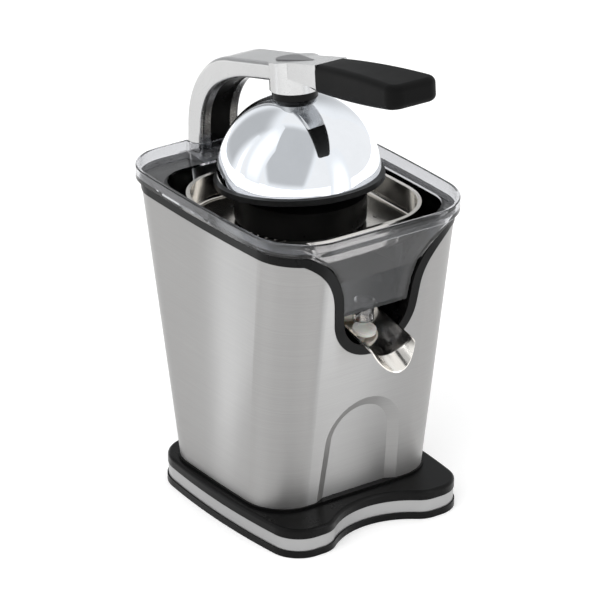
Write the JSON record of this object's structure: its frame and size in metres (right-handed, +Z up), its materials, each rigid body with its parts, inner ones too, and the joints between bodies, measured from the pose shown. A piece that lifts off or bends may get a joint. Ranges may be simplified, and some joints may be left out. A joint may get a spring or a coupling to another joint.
{
  "type": "electric citrus press",
  "caption": "Electric citrus press: a motor-driven ribbed cone in a clear bowl, a hinged lever with a chromed dome that presses the fruit on it, and a tilting drip spout.",
  "frame": {"origin": "on the floor, at the bottom face of the base, under the drive axis of the cone", "axes": "+Z up along the drive axis, -Y to the front, where the spout and the grip point, +X to the right seen from the front"},
  "size_m": [0.1746, 0.2559, 0.3603],
  "materials": {
    "black_plastic": "satin black",
    "satin_aluminium": "satin",
    "brushed_steel": "fine level brushing",
    "clear_plastic": "clear, slightly smoked",
    "polished_steel": "polished",
    "chrome": "mirror",
    "cast_aluminium": "light satin silver",
    "soft_grip": "soft-touch black",
    "cap_plastic": "satin grey",
    "rubber": "matte",
    "silicone": "off-white silicone",
    "bare_steel": "plain",
    "bush_brass": "plain",
    "washer_plastic": "natural",
    "gear_plastic": "natural white",
    "motor_iron": "plain"
  },
  "bodies": {
    "stand": {"base_tray": "black_plastic", "rubber_feet": "rubber", "base_band": "satin_aluminium", "base_cover": "black_plastic", "base_screws": "bare_steel", "steel_shell": "brushed_steel", "top_trim": "black_plastic", "upper_housing": "black_plastic", "lower_housing": "black_plastic", "juice_bowl": "clear_plastic", "strainer": "polished_steel", "shaft_seal": "rubber", "upper_bush": "bush_brass", "lower_bush": "bush_brass", "idler_pin": "bare_steel", "motor_stator": "motor_iron", "motor_top_cap": "motor_iron", "motor_bottom_cap": "motor_iron", "gearbox_plate": "bare_steel", "gearbox_pillars": "bare_steel", "spring_bracket": "bare_steel", "micro_switch": "black_plastic", "press_spring": "bare_steel", "hinge_bracket": "bare_steel", "hinge_pin": "bare_steel", "friction_washers": "washer_plastic", "pin_clips": "bare_steel", "bracket_screws": "bare_steel", "spout_cradle": "black_plastic", "spout_pin": "bare_steel", "cord_gland": "black_plastic"},
    "carriage": {"thrust_cup": "black_plastic", "switch_plunger": "black_plastic"},
    "spinner": {"drive_shaft": "bare_steel", "output_gear": "gear_plastic", "reamer_cone": "black_plastic"},
    "idler": {"idler_gear": "gear_plastic"},
    "rotor": {"motor_rotor": "bare_steel", "motor_pinion": "gear_plastic"},
    "lever": {"lever_arm": "cast_aluminium", "arm_insert": "black_plastic", "hinge_bushes": "bush_brass", "hub_cap": "cap_plastic", "hub_screw": "bare_steel", "dome_collar": "black_plastic", "dome_shell": "chrome", "dome_liner": "black_plastic", "grip": "soft_grip"},
    "tipper": {"spout": "polished_steel", "spout_carrier": "black_plastic", "drip_seal": "silicone"}
  },
  "joints": [
    {"name": "lever_hinge", "type": "hinge", "parent": "stand", "child": "lever", "pos_m": [0, 0.1105, 0.221], "axis": [-1, 0, 0], "range_deg": [-5.8, 75]},
    {"name": "cone_press", "type": "slide", "parent": "stand", "child": "carriage", "axis": [0, 0, -1], "range_m": [0, 0.003], "stiffness_N_per_m": 2000, "springref_m": -0.008, "deforming": ["press_spring"]},
    {"name": "cone_spin", "type": "hinge", "parent": "carriage", "child": "spinner", "pos_m": [0, 0, 0.16], "axis": [0, 0, 1], "continuous": true},
    {"name": "idler_spin", "type": "hinge", "parent": "stand", "child": "idler", "pos_m": [0, 0.0455, 0.13], "axis": [0, 0, 1], "continuous": true},
    {"name": "motor_spin", "type": "hinge", "parent": "stand", "child": "rotor", "pos_m": [0.03665, 0.03216, 0.08], "axis": [0, 0, 1], "continuous": true},
    {"name": "spout_tip", "type": "hinge", "parent": "stand", "child": "tipper", "pos_m": [0, -0.046, 0.15], "axis": [-1, 0, 0], "range_deg": [0, 11.2]}
  ],
  "couplings": [
    {"joint": "cone_spin", "follows": "motor_spin", "ratio": 0.09},
    {"joint": "idler_spin", "follows": "motor_spin", "ratio": -0.3}
  ]
}
